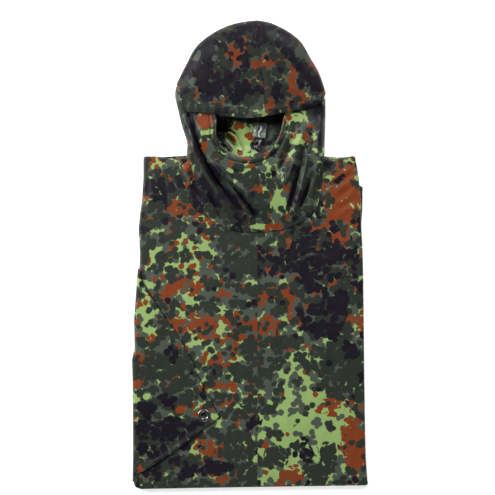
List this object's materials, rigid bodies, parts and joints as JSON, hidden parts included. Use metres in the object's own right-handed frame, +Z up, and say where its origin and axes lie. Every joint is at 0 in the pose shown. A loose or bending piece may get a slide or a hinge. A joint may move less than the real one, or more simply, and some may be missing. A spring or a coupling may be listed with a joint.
{
  "type": "folded rain poncho",
  "caption": "Hooded rain poncho in spotted camouflage cloth, folded flat and lying on its back, with one hemmed corner and its eyelet wrapped over the front.",
  "frame": {"origin": "middle of the part's box on the surface that it lies on", "axes": "+X to the right and +Y toward the top of the hood as the folded poncho is seen from above, +Z up from the surface"},
  "size_m": [0.473, 0.9348, 0.0365],
  "materials": {
    "cloth": "coated nylon, slightly shiny, printed with five-colour spots",
    "metal": "blackened nickel",
    "pale_label": "pale satin label, blank",
    "black_label": "woven tab, blank"
  },
  "bodies": {
    "root": {"folded_layers": "cloth", "front_panel": "cloth", "corner_flap": "cloth", "eyelet": "metal", "hood_back": "cloth", "hood_throat": "cloth", "drawcord_tunnel": "cloth", "hood_crown_left": "cloth", "hood_crown_right": "cloth", "care_label": "pale_label", "neck_label": "black_label"}
  },
  "joints": []
}
